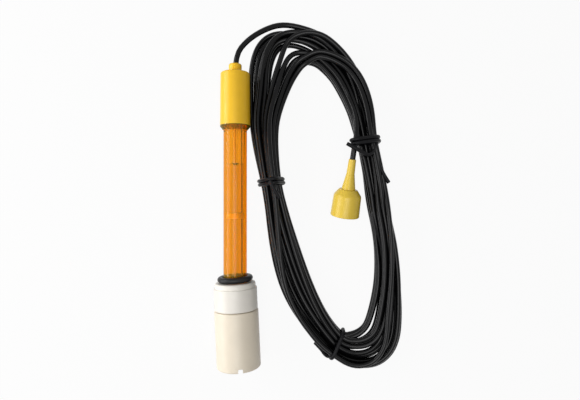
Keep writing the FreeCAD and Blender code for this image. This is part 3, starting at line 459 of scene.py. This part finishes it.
resin = moulded("resin", (0.05, 0.04, 0.03), 0.4)
resin.on(nodes["head_potting"])
seal_plastic = moulded("seal_plastic", (0.85, 0.66, 0.35), 0.4)
seal_plastic.on(nodes["centring_ring"], nodes["tip_seal"])
ceramic = moulded("ceramic", (0.80, 0.77, 0.70), 0.7)
ceramic.on(nodes["ceramic_junction"])
insulator = moulded("insulator", (0.82, 0.82, 0.80), 0.4, mottle=0.02)
insulator.on(nodes["plug_insulator"], nodes["cable_clamp"])
gasket = moulded("gasket_rubber", (0.33, 0.02, 0.01), 0.55)
gasket.on(nodes["plug_gasket"])

# Floor and light

FLOOR_REACH = 0.9  # from the middle to each side, in metres
FLOOR_GREY, FLOOR_ROUGHNESS, FLOOR_GLOSS = 0.75, 0.8, 0.1
FLOOR_GLOW = 0.92  # how much of the floor's look is plain white, the rest being lit
AMBIENT = 0.24
LAMP_TARGET = (0.02, 0.0, 0.0)
# Each lamp: its place and size in metres, and its power in watts.
LAMPS = {
    "key": ((-0.50, 0.05, 0.25), (0.7, 0.3), 2.1),
    "strip": ((-0.50, 0.08, 0.11), (0.7, 0.05), 0.8),
    "fill": ((0.0, -0.10, 0.60), (0.4, 0.4), 1.7),
}


def direct_rays(tree):
    """1 where the camera, a gloss or a clear piece looks, and 0 for light that falls on the object."""
    path = tree.nodes.new("ShaderNodeLightPath")
    seen = path.outputs["Is Camera Ray"]
    for ray in ("Is Glossy Ray", "Is Transmission Ray"):
        either = tree.nodes.new("ShaderNodeMath")
        either.operation = "MAXIMUM"
        tree.links.new(seen, either.inputs[0])
        tree.links.new(path.outputs[ray], either.inputs[1])
        seen = either.outputs[0]
    return seen


def floor():
    """A pale floor that the camera sees as near white, with the object's shadow on it."""
    mesh = bpy.data.meshes.new("floor")
    corners = [(FLOOR_REACH * x, FLOOR_REACH * y, 0.0) for x, y in ((-1, -1), (1, -1), (1, 1), (-1, 1))]
    mesh.from_pydata(corners, [], [(0, 1, 2, 3)])
    plate = bpy.data.objects.new("floor", mesh)
    bpy.context.scene.collection.objects.link(plate)
    material = bpy.data.materials.new("floor")
    material.use_nodes = True
    tree = material.node_tree
    surface = tree.nodes["Principled BSDF"]
    surface.inputs["Base Color"].default_value = (FLOOR_GREY, FLOOR_GREY, FLOOR_GREY, 1.0)
    surface.inputs["Roughness"].default_value = FLOOR_ROUGHNESS
    surface.inputs["Specular IOR Level"].default_value = FLOOR_GLOSS
    glow = tree.nodes.new("ShaderNodeEmission")
    mix = tree.nodes.new("ShaderNodeMixShader")
    share = tree.nodes.new("ShaderNodeMath")
    share.operation = "MULTIPLY"
    share.inputs[1].default_value = FLOOR_GLOW
    tree.links.new(direct_rays(tree), share.inputs[0])
    tree.links.new(share.outputs[0], mix.inputs["Fac"])
    tree.links.new(surface.outputs[0], mix.inputs[1])
    tree.links.new(glow.outputs[0], mix.inputs[2])
    tree.links.new(mix.outputs[0], tree.nodes["Material Output"].inputs["Surface"])
    mesh.materials.append(material)


def world():
    """An even pale surround, which the camera, gloss and glass see as white."""
    surround = bpy.data.worlds.new("surround")
    bpy.context.scene.world = surround
    surround.use_nodes = True
    tree = surround.node_tree
    tree.nodes.clear()
    dim = tree.nodes.new("ShaderNodeBackground")
    dim.inputs["Strength"].default_value = AMBIENT
    bright = tree.nodes.new("ShaderNodeBackground")
    bright.inputs["Strength"].default_value = 1.0
    mix = tree.nodes.new("ShaderNodeMixShader")
    tree.links.new(direct_rays(tree), mix.inputs["Fac"])
    tree.links.new(dim.outputs[0], mix.inputs[1])
    tree.links.new(bright.outputs[0], mix.inputs[2])
    out = tree.nodes.new("ShaderNodeOutputWorld")
    tree.links.new(mix.outputs[0], out.inputs["Surface"])


def lamp(name, place, size, power):
    """A soft lamp that stands at place and shines on the lamps' common target."""
    light = bpy.data.lights.new(name, "AREA")
    light.shape = "RECTANGLE"
    light.size, light.size_y = size
    light.energy = power
    thing = bpy.data.objects.new(name, light)
    bpy.context.scene.collection.objects.link(thing)
    thing.location = place
    away = np.array(LAMP_TARGET) - np.array(place)
    tilt = math.atan2(math.hypot(away[0], away[1]), -away[2])
    thing.rotation_euler = (tilt, 0.0, math.atan2(-away[0], away[1]))


floor()
world()
for name, (place, size, power) in LAMPS.items():
    lamp(name, place, size, power)
